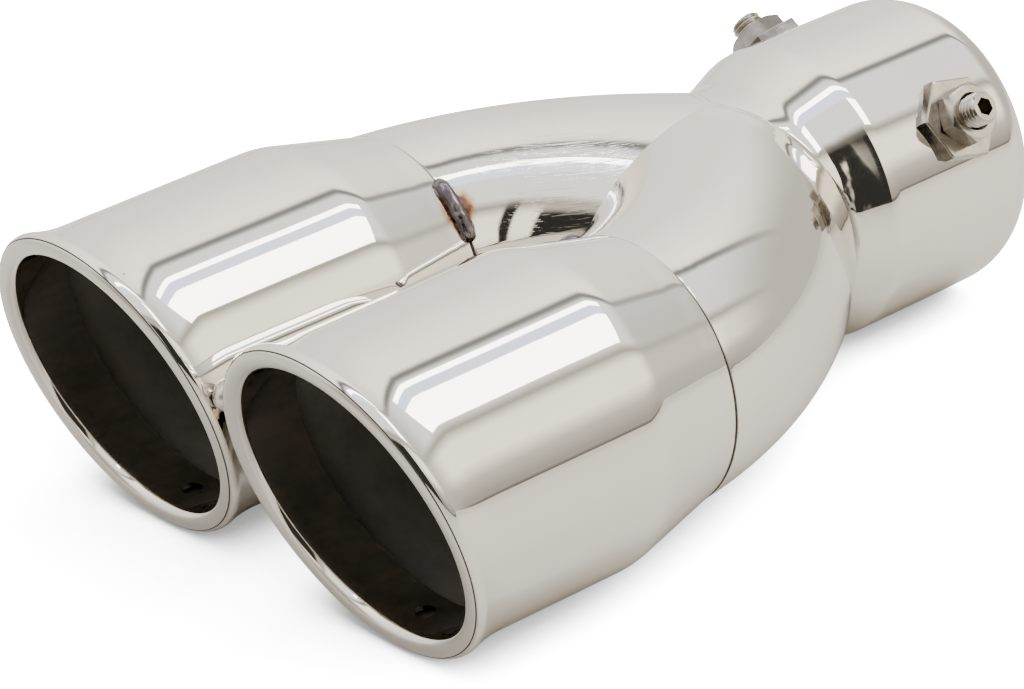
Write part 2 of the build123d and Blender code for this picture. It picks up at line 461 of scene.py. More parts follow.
def ramp(tree, value, stops):
    """A colour ramp's colour."""
    node = tree.nodes.new("ShaderNodeValToRGB")
    tree.links.new(value, node.inputs[0])
    elements = node.color_ramp.elements
    while len(elements) < len(stops):
        elements.new(1.0)
    for element, (place, shade) in zip(elements, stops):
        element.position = place
        element.color = (*shade, 1)
    return node.outputs[0]


def mixed(tree, mask, under, over):
    """Two colours mixed by a mask."""
    node = tree.nodes.new("ShaderNodeMix")
    node.data_type = "RGBA"
    feed(tree, node.inputs["Factor"], mask)
    feed(tree, node.inputs[6], under)
    feed(tree, node.inputs[7], over)
    return node.outputs[2]


def new_group(name, kind, inputs, outputs):
    """A node group and its ends. An input's kind is named or follows from its default."""
    tree = bpy.data.node_groups.new(name, kind + "NodeTree")
    for label, value in inputs.items():
        socket = SOCKET_KINDS.get(type(value), value)
        made = tree.interface.new_socket(label, in_out="INPUT", socket_type="NodeSocket" + socket)
        if socket != value:
            made.default_value = value
    for label, socket in outputs.items():
        tree.interface.new_socket(label, in_out="OUTPUT", socket_type="NodeSocket" + socket)
    return tree, tree.nodes.new("NodeGroupInput").outputs, tree.nodes.new("NodeGroupOutput").inputs


def placed(tree, name, maker, at, *values):
    """A shared shader group in a material, fed with its place and values in order. It is made once."""
    node = tree.nodes.new("ShaderNodeGroup")
    node.node_tree = bpy.data.node_groups.get(name) or maker(name)
    for socket, value in zip(node.inputs, (at, *values)):
        feed(tree, socket, value)
    return node.outputs


# Shared effects of the finishes


def polish_group(name):
    """Slow waves and fine buffing haze that a polishing wheel leaves."""
    tree, given, out = new_group(
        name, "Shader", {"Vector": (0, 0, 0)}, {"Waves": "Float", "Haze": "Float"}
    )
    streaks = vector_calc(tree, "MULTIPLY", given["Vector"], (900.0, 120.0, 900.0))
    tree.links.new(grain(tree, given["Vector"], 38.0, 1.0), out["Waves"])
    tree.links.new(grain(tree, streaks, 1.0, 3.0, 0.6), out["Haze"])
    return tree


def seam_group(name):
    """A thin wandering line where a plane cuts the pipework, the same on both sides."""
    tree, given, out = new_group(
        name,
        "Shader",
        {"Vector": (0, 0, 0), "Facing": (0, 1, 0), "Offset": 0.0, "Width": 0.0003, "Wander": 0.0004},
        {"Line": "Float", "Near": "Float"},
    )
    at = one_sided(tree, given["Vector"])
    ahead = vector_calc(tree, "DOT_PRODUCT", at, given["Facing"], result=1)
    depth = calc(tree, "SUBTRACT", ahead, given["Offset"])
    sway = calc(tree, "SUBTRACT", grain(tree, given["Vector"], 140.0, 3.0), 0.5)
    away = calc(tree, "ABSOLUTE", calc(tree, "MULTIPLY_ADD", sway, given["Wander"], depth))
    broken = spread(tree, grain(tree, given["Vector"], 90.0, 2.0), 0.38, 0.56)
    tree.links.new(times(tree, spread(tree, away, given["Width"], 0.0), broken), out["Line"])
    tree.links.new(spread(tree, away, 0.007, 0.0005), out["Near"])
    return tree


def heat_group(name):
    """Dark, brown and straw rings that welding heat leaves round a place, the same on both sides."""
    tree, given, out = new_group(
        name,
        "Shader",
        {"Vector": (0, 0, 0), "Centre": (0, 0, 0), "Reach": 0.008},
        {"Tint": "Color", "Mask": "Float"},
    )
    at = one_sided(tree, given["Vector"])
    far = vector_calc(tree, "DISTANCE", at, given["Centre"], result=1)
    rough = calc(tree, "MULTIPLY_ADD", grain(tree, given["Vector"], 420.0, 3.0), 0.004, far)
    ring = calc(tree, "DIVIDE", calc(tree, "SUBTRACT", rough, 0.002), given["Reach"])
    tint = ramp(
        tree,
        ring,
        [
            (0.0, (0.1, 0.08, 0.08)),
            (0.3, (0.14, 0.08, 0.1)),
            (0.45, (0.22, 0.08, 0.025)),
            (0.62, (0.6, 0.3, 0.06)),
            (0.8, (0.72, 0.6, 0.36)),
        ],
    )
    tree.links.new(tint, out["Tint"])
    tree.links.new(spread(tree, ring, 0.95, 0.35), out["Mask"])
    return tree


def roll_group(name):
    """Mask of the rolled edge's face, down to a depth behind a plane."""
    tree, given, out = new_group(
        name,
        "Shader",
        {"Vector": (0, 0, 0), "Facing": (0, 1, 0), "Offset": 0.0, "Depth": 0.0006},
        {"Roll": "Float"},
    )
    ahead = vector_calc(tree, "DOT_PRODUCT", given["Vector"], given["Facing"], result=1)
    behind = calc(tree, "SUBTRACT", given["Offset"], ahead)
    fade = times(tree, given["Depth"], 1.5)
    tree.links.new(spread(tree, behind, fade, given["Depth"]), out["Roll"])
    return tree


def scratch_group(name):
    """Short parallel brush marks in a patch of the polish."""
    tree, given, out = new_group(
        name,
        "Shader",
        {"Vector": (0, 0, 0), "Centre": (0, 0, 0), "Reach": 0.02, "Turn": (0, 0, 0)},
        {"Marks": "Float"},
    )
    turn = added(tree, "ShaderNodeVectorRotate", Vector=given["Vector"], Center=given["Centre"])
    turn.rotation_type = "EULER_XYZ"
    tree.links.new(given["Turn"], turn.inputs["Rotation"])
    long = vector_calc(tree, "MULTIPLY", turn.outputs[0], (90.0, 2600.0, 2600.0))
    lines = spread(tree, grain(tree, long, 1.0, 2.0, 0.7), 0.54, 0.7)
    far = vector_calc(tree, "DISTANCE", given["Vector"], given["Centre"], result=1)
    tree.links.new(times(tree, lines, spread(tree, far, given["Reach"], 0.0)), out["Marks"])
    return tree


def new_material(name):
    """An empty node material with its surface shader and its object coordinates."""
    material = bpy.data.materials.new(name)
    material.use_nodes = True
    tree = material.node_tree
    tree.nodes.clear()
    surface = tree.nodes.new("ShaderNodeBsdfPrincipled")
    target = tree.nodes.new("ShaderNodeOutputMaterial")
    tree.links.new(surface.outputs[0], target.inputs[0])
    return material, tree, surface.inputs, tree.nodes.new("ShaderNodeTexCoord").outputs["Object"]


def bump(tree, height, distance, normal=None):
    """A Bump node's normal."""
    node = added(tree, "ShaderNodeBump", Distance=distance, Strength=1.0, Height=height, Normal=normal)
    return node.outputs[0]


def toned(shade, red, green, blue):
    """A colour with its channels multiplied."""
    return [shade[0] * red, shade[1] * green, shade[2] * blue, 1]


def coat(tree, surface, base, roughness, normal, metallic=1.0):
    """Sets what a surface shader shows."""
    feed(tree, surface["Base Color"], base)
    feed(tree, surface["Roughness"], roughness)
    feed(tree, surface["Normal"], normal)
    surface["Metallic"].default_value = metallic


def polished_steel(name, seams=(), heat=None, brushed=None, lip=None, nick=None):
    """Mirror polished stainless with its seams, welding colours, brush marks, lip and nick."""
    finish = settings().finish
    material, tree, surface, at = new_material(name)
    waves, haze = placed(tree, "Buffed polish", polish_group, at)
    shade = spread(tree, grain(tree, at, 22.0, 2.0), 0.3, 0.7)
    base = mixed(tree, shade, toned(finish.steel, 0.96, 0.96, 0.96), finish.steel)
    rough = calc(tree, "MULTIPLY_ADD", haze, 0.04, finish.gloss - 0.02)
    normal = bump(tree, waves, 0.00005)
    normal = bump(tree, haze, 0.0000006, normal)
    for seam in seams:
        line, near = placed(tree, "Seam line", seam_group, at, *seam)
        base = mixed(tree, times(tree, line, 0.45), base, finish.seam)
        rough = calc(tree, "MULTIPLY_ADD", line, 0.2, rough)
        facets = times(tree, grain(tree, at, 150.0, 1.5), near)
        normal = bump(tree, facets, seam.ground, normal)
        normal = bump(tree, line, -0.00002, normal)
    if heat:
        tint, mask = placed(tree, "Heat tint", heat_group, at, *heat)
        base = mixed(tree, mask, base, tint)
    if brushed:
        marks = placed(tree, "Brush marks", scratch_group, at, *brushed)[0]
        rough = calc(tree, "MULTIPLY_ADD", marks, 0.25, rough)
        normal = bump(tree, marks, 0.000012, normal)
    if lip:
        roll = placed(tree, "Rolled edge", roll_group, at, *lip)[0]
        base = mixed(tree, times(tree, roll, 0.3), base, finish.seam)
        rough = calc(tree, "MULTIPLY_ADD", roll, 0.07, rough)
    if nick:
        far = vector_calc(tree, "DISTANCE", at, nick.centre, result=1)
        ragged = calc(tree, "MULTIPLY_ADD", grain(tree, at, 1500.0), nick.reach, far)
        base = mixed(tree, spread(tree, ragged, nick.reach * 1.5, nick.reach), base, finish.seam)
    coat(tree, surface, base, rough, normal)
    return material


def sooted_wall():
    """The pipe's unpolished inside, darkened unevenly."""
    known = bpy.data.materials.get("sooted_wall")
    if known:
        return known
    material, tree, surface, at = new_material("sooted_wall")
    finish = settings().finish
    patch = spread(tree, grain(tree, at, 60.0, 4.0, 0.6), 0.3, 0.75)
    base = mixed(tree, patch, finish.inside, toned(finish.inside, 1.4, 1.3, 1.2))
    speck = grain(tree, at, 900.0, 3.0)
    rough = calc(tree, "MULTIPLY_ADD", speck, 0.2, 0.7)
    coat(tree, surface, base, rough, bump(tree, speck, 0.00003), metallic=0.0)
    surface["Specular IOR Level"].default_value = 0.12
    return material


def plated_steel(name, side_shade):
    """Yellowish plating, with painted shade on the faces that stand up from the collar and in the screws'
    hollows.
    """
    known = bpy.data.materials.get(name)
    if known:
        return known
    material, tree, surface, at = new_material(name)
    finish = settings().finish
    cloud = spread(tree, grain(tree, at, 260.0, 4.0, 0.6), 0.3, 0.7)
    base = mixed(tree, cloud, toned(finish.plating, 0.72, 0.72, 0.72), finish.plating)
    x, _, z = parted(tree, at)
    out = vector_calc(tree, "NORMALIZE", joined(tree, x, 0.0, z))
    normal = tree.nodes.new("ShaderNodeNewGeometry").outputs["True Normal"]
    level = calc(tree, "ABSOLUTE", vector_calc(tree, "DOT_PRODUCT", out, normal, result=1))
    standing = spread(tree, level, 0.85, 0.4)
    patchy = spread(tree, grain(tree, at, 170.0, 3.0, 0.6), 0.25, 0.6, 0.5, 1.0)
    # Painted shade: the standing sides darkened in patches, by the share that each kind of fastener is
    # given
    base = mixed(tree, times(tree, standing, side_shade, patchy), base, finish.fastener_shade)
    base = screw_hollow_shade(tree, at, standing, base)
    speck = grain(tree, at, 2400.0, 3.0, 0.6)
    rough = calc(tree, "MULTIPLY_ADD", speck, 0.12, 0.12)
    coat(tree, surface, base, rough, bump(tree, speck, 0.000003))
    return material


def screw_hollow_shade(tree, at, standing, base):
    """A colour with painted shade laid in the thread's roots and down in the socket of each screw."""
    pipe = settings().pipe
    screw = settings().fastener
    way = Vector((sin(screw.place_angle), 0, cos(screw.place_angle)))
    x, y, z = parted(tree, at)
    arm = joined(tree, calc(tree, "ABSOLUTE", x), calc(tree, "ADD", y, screw.setback), z)
    rise = vector_calc(tree, "DOT_PRODUCT", arm, way, result=1)
    away = vector_calc(tree, "LENGTH", vector_calc(tree, "CROSS_PRODUCT", arm, way), result=1)
    end = pipe.collar_radius + screw.standout
    # Painted shade: darkest down in the socket and in the roots between the thread's flanks
    deep = spread(tree, rise, end - 0.0001, end - 0.0008)
    socket = times(tree, deep, spread(tree, away, 0.0025, 0.0024), 0.4)
    root = times(tree, standing, spread(tree, away, 0.0039, 0.0035), 0.75)
    return mixed(tree, calc(tree, "MAXIMUM", socket, root), base, settings().finish.fastener_shade)


def weld_metal(name, tone, ripples):
    """Weld metal with a rippled skin and darker burnt places."""
    material, tree, surface, at = new_material(name)
    cloud = spread(tree, grain(tree, at, 330.0, 3.0, 0.6), 0.35, 0.65)
    base = mixed(tree, cloud, toned(tone, 0.6, 0.52, 0.58), tone)
    ripple = grain(tree, at, 900.0, 2.0)
    rough = calc(tree, "MULTIPLY_ADD", ripple, 0.2, 0.1)
    coat(tree, surface, base, rough, bump(tree, ripple, ripples))
    return material


# Pieces


class EXHAUST_TIP_OT_collar(bpy.types.Operator):
    """The spun collar with its rounded rim, shoulder, V-cut neck and screw holes"""

    bl_idname = "exhaust_tip.collar"
    bl_label = "Clamp Collar"

    def execute(self, context):
        pipe = settings().pipe
        screw = settings().fastener
        plan = PipePlan(pipe)
        shoulder_y = -(pipe.collar_length + pipe.shoulder_length)
        neck_bore = pipe.leg_radius - pipe.leg_wall
        clear = 0.002
        bend = pipe.shoulder_round
        wall = pipe.collar_radius - pipe.collar_bore
        rim_turn = acos(1 - (wall - pipe.rim_edge) / pipe.rim_round)
        rim = []
        for k in range(RIM_STEPS, -1, -1):
            lean = rim_turn * k / RIM_STEPS
            drop = pipe.rim_round * (1 - cos(lean))
            back = pipe.rim_round * (sin(rim_turn) - sin(lean))
            rim.append(Vector((pipe.collar_radius - drop, -back)))
        radii = [*[0] * (len(rim) + 1), bend, bend, 0, 0, bend, bend]
        runs = [*[1] * len(rim), 26, 8, 8, 2, 5, 5, 20]

        def mitre_y(radius, turn):
            return plan.branch_y + radius * abs(sin(turn)) * plan.mitre

        def wall_line(turn):
            low = [min(mitre_y(r, turn), shoulder_y - clear) for r in (pipe.leg_radius, neck_bore)]
            corners = [
                Vector((pipe.collar_bore, 0)),
                *rim,
                Vector((pipe.collar_radius, -pipe.collar_length)),
                Vector((pipe.leg_radius, shoulder_y)),
                Vector((pipe.leg_radius, low[0])),
                Vector((neck_bore, low[1])),
                Vector((neck_bore, shoulder_y)),
                Vector((pipe.collar_bore, -pipe.collar_length)),
            ]
            return outline(corners, radii, runs, BEND_STEPS)

        def section(turn):
            line, _ = wall_line(turn)
            return [Vector((r * sin(turn), max(y, mitre_y(r, turn)), r * cos(turn))) for r, y in line]

        sections = sections_round(COLLAR_TURNS, section)
        _, starts = wall_line(0)
        inner = starts[-3]
        mesh = wrapped("polished_collar", sections, (inner, len(sections[0])))
        tidy_mesh(mesh, PIPE_SHARP)
        mitre = Seam(
            plan.mitre_facing, plan.mitre_offset, width=0.00045, wander=0.0012, ground=0.00015
        )
        steel = polished_steel("polished_collar", seams=[mitre])
        obj = show("polished_collar", mesh, [steel, sooted_wall()])
        for side in SIDES.values():
            turn = side * screw.place_angle
            out = Vector((sin(turn), 0, cos(turn)))
            axis = Vector((0, -screw.setback, 0))
            start = axis + out * pipe.leg_radius
            end = axis + out * pipe.lip_radius
            drill(obj, screw.hole_radius, start, end, sooted_wall())
        tidy_mesh(obj.data, PIPE_SHARP)
        settle(obj, TIP_BODY, "polished_stainless", "inlet_collar")
        return {"FINISHED"}


def leg_line(pipe, plan, radius, turn, parts):
    """One line along the right leg's wall, from the outlet's seam to the mitre or the middle plane."""
    arm = pipe.bend_radius + radius * cos(turn)
    start = asin((plan.seam_y - plan.bend_y) / arm)
    away = pipe.branch_angle
    bend_end = Vector((plan.bend_x + arm * cos(away), plan.bend_y + arm * sin(away)))
    to_middle = bend_end.x / sin(away)
    closing = cos(away) + sin(away) * plan.mitre
    to_mitre = (plan.branch_y + bend_end.x * plan.mitre - bend_end.y) / closing
    straight = min(to_middle, to_mitre)
    if straight < 0:
        away = acos(-plan.bend_x / arm)
        straight = 0
    bend_length = arm * (away - start)
    points = []
    for k in range(parts + 1):
        gone = (bend_length + straight) * k / parts
        swing = start + min(gone, bend_length) / arm
        rest = max(gone - bend_length, 0)
        x = plan.bend_x + arm * cos(swing) - rest * sin(away)
        y = plan.bend_y + arm * sin(swing) + rest * cos(away)
        points.append(Vector((x, y, radius * sin(turn))))
    return points


def outlet_seam(plan):
    """The ground seam between leg and outlet."""
    return Seam(Vector((0, 1, 0)), plan.seam_y, width=0.0005, wander=0.0003, ground=0.0001)


class EXHAUST_TIP_OT_legs(bpy.types.Operator):
    """Two bent legs, mitred to each other and to the collar's neck"""

    bl_idname = "exhaust_tip.legs"
    bl_label = "Bent Legs"

    def execute(self, context):
        pipe = settings().pipe
        weld = settings().weld
        plan = PipePlan(pipe)
        outer_parts = 72
        inner_parts = 24
        second_line = 0.0017

        def section(turn):
            outer = leg_line(pipe, plan, pipe.leg_radius, turn, outer_parts)
            inner = leg_line(pipe, plan, pipe.leg_radius - pipe.leg_wall, turn, inner_parts)
            return outer + inner[::-1]

        sections = sections_round(PIPE_TURNS, section)
        mesh = wrapped("polished_leg_right", sections, (outer_parts, len(sections[0])))
        tidy_mesh(mesh, PIPE_SHARP)
        facing = plan.mitre_facing
        offset = plan.mitre_offset
        crotch = Vector((-0.0135, -0.104, 0.023))
        steel = polished_steel(
            "polished_legs",
            seams=[
                Seam(facing, offset, width=0.0005, wander=0.0014, ground=0.00035),
                Seam(facing, offset + second_line, width=0.0004, wander=0.0024, ground=0.0002),
                outlet_seam(plan),
            ],
            heat=Patch(plan.on_seam(-weld.bead_angle), HEAT_REACH),
            brushed=Patch(crotch, reach=0.03, turn=Vector((0, 0, -0.96))),
        )
        for name, side in SIDES.items():
            skin = mesh if side > 0 else mirrored(mesh, "polished_leg_left")
            obj = show("polished_leg_" + name, skin, [steel, sooted_wall()])
            settle(obj, TIP_BODY, "polished_stainless", name + "_leg")
        return {"FINISHED"}


def flared_lip(pipe, plan, slope):
    """The lip's flare and crest as (radius, y), down to the mouth's face, and where its notch starts."""
    size = pipe.crest_round
    across = pipe.crest_radius - size
    centre = Vector((across, plan.mouth_y - across * slope + size * sqrt(1 + slope ** 2)))

    def crest(turn, sunk=0):
        return centre + (size - sunk) * Vector((cos(turn), sin(turn)))

    edge = crest(pipe.flare_angle)
    rise = edge.x - pipe.waist_radius
    reach = 2 * rise / tan(pipe.flare_angle)
    line = []
    for k in range(FLARE_STEPS):
        done = k / FLARE_STEPS
        line.append(Vector((pipe.waist_radius + rise * done ** 2, edge.y + reach * (1 - done))))
    half = pipe.notch_width / 2 / size
    before = half - pipe.notch_angle
    after = -half - pipe.notch_angle
    face = -pi / 2 - atan(slope)
    for k in range(ROUND_STEPS + 1):
        line.append(crest(pipe.flare_angle + (before - pipe.flare_angle) * k / ROUND_STEPS))
    notch = len(line) - 1
    line.append(crest(-pipe.notch_angle, pipe.notch_depth))
    for k in range(ROUND_STEPS + 1):
        line.append(crest(after + (face - after) * k / ROUND_STEPS))
    return line, notch


def outlet_section(pipe, plan, turn):
    """The outlet's wall at one turn as (radius, y), and where its notch and its inside start."""
    slope = cos(turn) * tan(pipe.slash_angle)
    flare = (pipe.lip_radius - pipe.barrel_radius) / pipe.barrel_length
    wall = pipe.outlet_wall
    flange = plan.flange
    back = 1 / cos(pipe.slash_angle)
    inner_back = wall * back

    def mouth(radius, setback):
        return Vector((radius, plan.mouth_y + setback - radius * slope))

    inner_lip = (pipe.lip_radius - wall - flare * inner_back) / (1 - flare * slope)
    skin, notch = flared_lip(pipe, plan, slope)
    corners = [
        Vector((pipe.leg_radius, 0)),
        Vector((pipe.barrel_radius, -pipe.taper_length)),
        *skin,
        mouth(flange, 0),
        mouth(flange, pipe.return_length * back),
        mouth(flange + wall, pipe.return_length * back),
        mouth(flange + wall, inner_back),
        mouth(inner_lip, inner_back),
        Vector((pipe.waist_radius - wall, skin[0].y)),
        Vector((pipe.barrel_radius - wall, -pipe.taper_length)),
        Vector((pipe.leg_radius - wall, 0)),
    ]
    tight = plan.lip_round - wall
    bend = pipe.taper_round
    radii = [0, bend, *[0] * len(skin), plan.lip_round, 0, 0, tight, tight, 0, bend, 0]
    runs = [14, 26, *[1] * len(skin), 8, 2, 4, 2, 4, 10, 6, 2]
    line, starts = outline(corners, radii, runs, ROUND_STEPS)
    return line, starts[notch + 2], starts[len(skin) + 3]


class EXHAUST_TIP_OT_outlets(bpy.types.Operator):
    """Two slash-cut outlets with a rolled lip, a return flange and a drain hole"""

    bl_idname = "exhaust_tip.outlets"
    bl_label = "Slash-Cut Outlets"

    def execute(self, context):
        pipe = settings().pipe
        weld = settings().weld
        plan = PipePlan(pipe)

        def section(turn):
            line, _, _ = outlet_section(pipe, plan, turn)
            return [Vector((r * sin(turn), y, r * cos(turn))) for r, y in line]

        sections = sections_round(PIPE_TURNS, section)
        _, notch, inner = outlet_section(pipe, plan, 0)
        mesh = wrapped("rolled_outlet", sections, (notch, notch + 2), (inner, len(sections[0])))
        tidy_mesh(mesh, PIPE_SHARP)
        facing = Vector((0, -cos(pipe.slash_angle), -sin(pipe.slash_angle)))
        steel = polished_steel(
            "polished_outlets",
            seams=[outlet_seam(plan)],
            heat=Patch(plan.on_seam(-weld.bead_angle), HEAT_REACH),
            lip=Lip(facing, facing.y * (plan.seam_y + plan.mouth_y), pipe.roll_depth),
            nick=Patch(Vector((-0.0246, -0.223, 0.035)), reach=0.0007),
        )
        drain_y = plan.mouth_y + plan.flange * tan(pipe.slash_angle) + pipe.drain_setback
        drain = Vector((0, drain_y, -plan.flange))
        reach = Vector((0, 0, 2 * pipe.outlet_wall))
        master = show("rolled_outlet", mesh, [steel, sooted_wall()])
        drill(master, pipe.drain_diameter / 2, drain - reach, drain + reach, steel)
        tidy_mesh(master.data, PIPE_SHARP)
        for name, side in SIDES.items():
            skin = master.data.copy()
            skin.transform(Matrix.Translation((side * plan.outlet_x, plan.seam_y, 0)))
            obj = show("rolled_outlet_" + name, skin, [steel, sooted_wall()])
            settle(obj, TIP_BODY, "polished_stainless", name + "_outlet")
        bpy.data.objects.remove(master)
        return {"FINISHED"}


def hexagon_reach(flats, turn):
    """From a hexagon's centre to its edge at a turn."""
    return flats / 2 / cos((turn % (pi / 3)) - pi / 6)


def nut_mesh(name, flats, spin, profile):
    """A hexagon nut at the collar's top, from its profile's (radius, height) pairs at each turn."""

    def section(turn):
        way = Vector((cos(turn + spin), sin(turn + spin), 0))
        pairs = profile(hexagon_reach(flats, turn), way.x)
        return [way * radius + Vector((0, 0, height)) for radius, height in pairs]

    mesh = wrapped(name, sections_round(NUT_TURNS, section))
    tidy_mesh(mesh, NUT_SHARP)
    return mesh


def weld_nut_mesh():
    """A thin hexagon nut, saddled to the collar."""
    pipe = settings().pipe
    screw = settings().fastener
    bore = screw.hole_radius
    chamfer = screw.weld_nut_chamfer
    top = pipe.collar_radius + screw.weld_nut_height

    def profile(edge, across):
        brow = edge * (1 - 2 * chamfer / screw.weld_nut_flats)
        middle = (edge + brow) / 2 + chamfer * 0.15
        saddle = [(r, sqrt(pipe.collar_radius ** 2 - (r * across) ** 2)) for r in (bore, edge)]
        return [*saddle, (edge, top - chamfer), (middle, top - chamfer * 0.35), (brow, top), (bore, top)]

    return nut_mesh("weld_nut", screw.weld_nut_flats, screw.weld_nut_turn, profile)


def lock_nut_mesh():
    """A hexagon nut with both faces turned to a cone."""
    screw = settings().fastener
    bore = screw.hole_radius
    bottom = settings().pipe.collar_radius + screw.weld_nut_height
    top = bottom + screw.lock_nut_height
    face = screw.lock_nut_face * screw.lock_nut_flats / 2
    inset = 0.0004

    def profile(edge, _):
        drop = (edge - face) * tan(radians(30))
        lower = [(bore, bottom + inset), (bore + inset, bottom), (face, bottom), (edge, bottom + drop)]
        upper = [(edge, top - drop), (face, top), (bore + inset, top), (bore, top - inset)]
        return lower + upper

    return nut_mesh("lock_nut", screw.lock_nut_flats, screw.lock_nut_turn, profile)


def finish_geometry(tree, given, out, geometry):
    """Ends a geometry tree: instances made real, in the material that it is given."""
    real = added(tree, "GeometryNodeRealizeInstances", Geometry=geometry)
    paint = added(tree, "GeometryNodeSetMaterial", Geometry=real.outputs[0], Material=given["Material"])
    tree.links.new(paint.outputs[0], out["Geometry"])
    return tree


def nut_ring_tree():
    """Places one nut at even steps round the collar."""
    tree, given, out = new_group(
        "Nut ring",
        "Geometry",
        {
            "Nut": "Object",
            "Count": 2,
            "First Angle": 0.0,
            "Step Angle": 0.0,
            "Setback": 0.0,
            "Material": "Material",
        },
        {"Geometry": "Geometry"},
    )
    line = added(tree, "GeometryNodeMeshLine", Offset=(0, 0, 0), Count=given["Count"])
    nut = added(tree, "GeometryNodeObjectInfo", Object=given["Nut"])
    index = tree.nodes.new("GeometryNodeInputIndex").outputs[0]
    turn = calc(tree, "MULTIPLY_ADD", index, given["Step Angle"], given["First Angle"])
    spin = added(tree, "FunctionNodeEulerToRotation", Euler=joined(tree, 0.0, turn, 0.0))
    copies = added(
        tree,
        "GeometryNodeInstanceOnPoints",
        Points=line.outputs[0],
        Instance=nut.outputs["Geometry"],
        Rotation=spin.outputs[0],
    )
    back = joined(tree, 0.0, times(tree, given["Setback"], -1.0), 0.0)
    move = added(tree, "GeometryNodeTransform", Geometry=copies.outputs[0], Translation=back)
    return finish_geometry(tree, given, out, move.outputs[0])


def grown(name, tree, **values):
    """A new object whose mesh is what a geometry tree makes with those inputs."""
    mesh = bpy.data.meshes.new(name)
    obj = show(name, mesh, [])
    modifier = obj.modifiers.new(tree.name, "NODES")
    modifier.node_group = tree
    keys = {item.name: item.identifier for item in tree.interface.items_tree if item.in_out == "INPUT"}
    for label, value in values.items():
        modifier[keys[label.replace("_", " ")]] = value
    obj.update_tag()
    return baked(obj)


class EXHAUST_TIP_OT_nuts(bpy.types.Operator):
    """Two weld nuts on the collar and a lock nut on each"""

    bl_idname = "exhaust_tip.nuts"
    bl_label = "Weld Nuts and Lock Nuts"

    def execute(self, context):
        screw = settings().fastener
        tree = nut_ring_tree()
        # Each kind of nut with its share of painted shade on its sides
        for kind, maker, side_shade in (("weld_nut", weld_nut_mesh, 0.85), ("lock_nut", lock_nut_mesh, 0.55)):
            plating = plated_steel("plated_" + kind, side_shade)
            master = show(kind + "_master", maker(), [plating])
            obj = grown(
                "seated_" + kind + "s",
                tree,
                Nut=master,
                Count=len(SIDES),
                First_Angle=screw.place_angle,
                Step_Angle=-2 * screw.place_angle,
                Setback=screw.setback,
                Material=plating,
            )
            bpy.data.objects.remove(master)
            settle(obj, TIP_BODY, "zinc_steel", *[kind + "_" + name for name in SIDES])
        return {"FINISHED"}


# Inputs of the screw's tree, named after the fastener's sizes
SCREW_SIZES = (
    "Screw Radius",
    "Screw Length",
    "Pitch",
    "Thread Depth",
    "End Chamfer",
    "Point Chamfer",
    "Socket Flats",
    "Socket Depth",
)


def screw_tree():
    """A headless screw on the Z axis, its outer end at the origin."""
    tree, given, out = new_group(
        "Clamp screw",
        "Geometry",
        {**dict.fromkeys(SCREW_SIZES, 0.0), "Material": "Material"},
        {"Geometry": "Geometry"},
    )
    grid = added(
        tree,
        "GeometryNodeMeshGrid",
        Size_X=1.0,
        Size_Y=1.0,
        Vertices_X=SCREW_TURNS + 1,
        Vertices_Y=SCREW_RINGS,
    )
    u, v, _ = parted(tree, tree.nodes.new("GeometryNodeInputPosition").outputs[0])
    turn = times(tree, calc(tree, "ADD", u, 0.5), 2 * pi)
    z = times(tree, calc(tree, "SUBTRACT", v, 0.5), given["Screw Length"])
    helix = calc(tree, "ADD", calc(tree, "DIVIDE", z, given["Pitch"]), u)
    flank = times(tree, calc(tree, "PINGPONG", helix, 0.5), 2.0)
    groove = times(tree, spread(tree, flank, 0.12, 0.92), given["Thread Depth"])
    radius = calc(tree, "SUBTRACT", given["Screw Radius"], groove)
    end_radius = calc(tree, "SUBTRACT", given["Screw Radius"], given["End Chamfer"])
    point_radius = calc(tree, "SUBTRACT", given["Screw Radius"], given["Point Chamfer"])
    radius = calc(tree, "MINIMUM", radius, calc(tree, "SUBTRACT", end_radius, z))
    inner_end = calc(tree, "ADD", z, given["Screw Length"])
    radius = calc(tree, "MINIMUM", radius, calc(tree, "ADD", point_radius, inner_end))
    place = joined(
        tree,
        times(tree, radius, calc(tree, "COSINE", turn)),
        times(tree, radius, calc(tree, "SINE", turn)),
        z,
    )
    thread = added(tree, "GeometryNodeSetPosition", Geometry=grid.outputs[0], Position=place)

    def ring(resolution, size):
        node = added(tree, "GeometryNodeCurvePrimitiveCircle", Resolution=resolution, Radius=size)
        return node.outputs[0]

    def sunk(geometry, depth, part=1.0):
        place = joined(tree, 0.0, 0.0, times(tree, given[depth], -part))
        return added(tree, "GeometryNodeTransform", Geometry=geometry, Translation=place).outputs[0]

    def together(*parts):
        node = tree.nodes.new("GeometryNodeJoinGeometry")
        for part in parts:
            tree.links.new(part, node.inputs[0])
        return node.outputs[0]

    def filled(curve):
        return added(tree, "GeometryNodeFillCurve", Curve=curve).outputs[0]

    socket_radius = calc(tree, "DIVIDE", given["Socket Flats"], sqrt(3))
    end_face = filled(together(ring(SCREW_TURNS, end_radius), ring(6, socket_radius)))
    walls = added(
        tree, "GeometryNodeMeshCylinder", Vertices=6, Radius=socket_radius, Depth=given["Socket Depth"]
    )
    walls.fill_type = "NONE"
    socket_walls = sunk(walls.outputs[0], "Socket Depth", 0.5)
    socket_floor = sunk(filled(ring(6, socket_radius)), "Socket Depth")
    point_face = sunk(filled(ring(SCREW_TURNS, point_radius)), "Screw Length")
    whole = together(thread.outputs[0], end_face, socket_walls, socket_floor, point_face)
    merge = added(tree, "GeometryNodeMergeByDistance", Geometry=whole, Distance=2e-6)
    return finish_geometry(tree, given, out, merge.outputs[0])


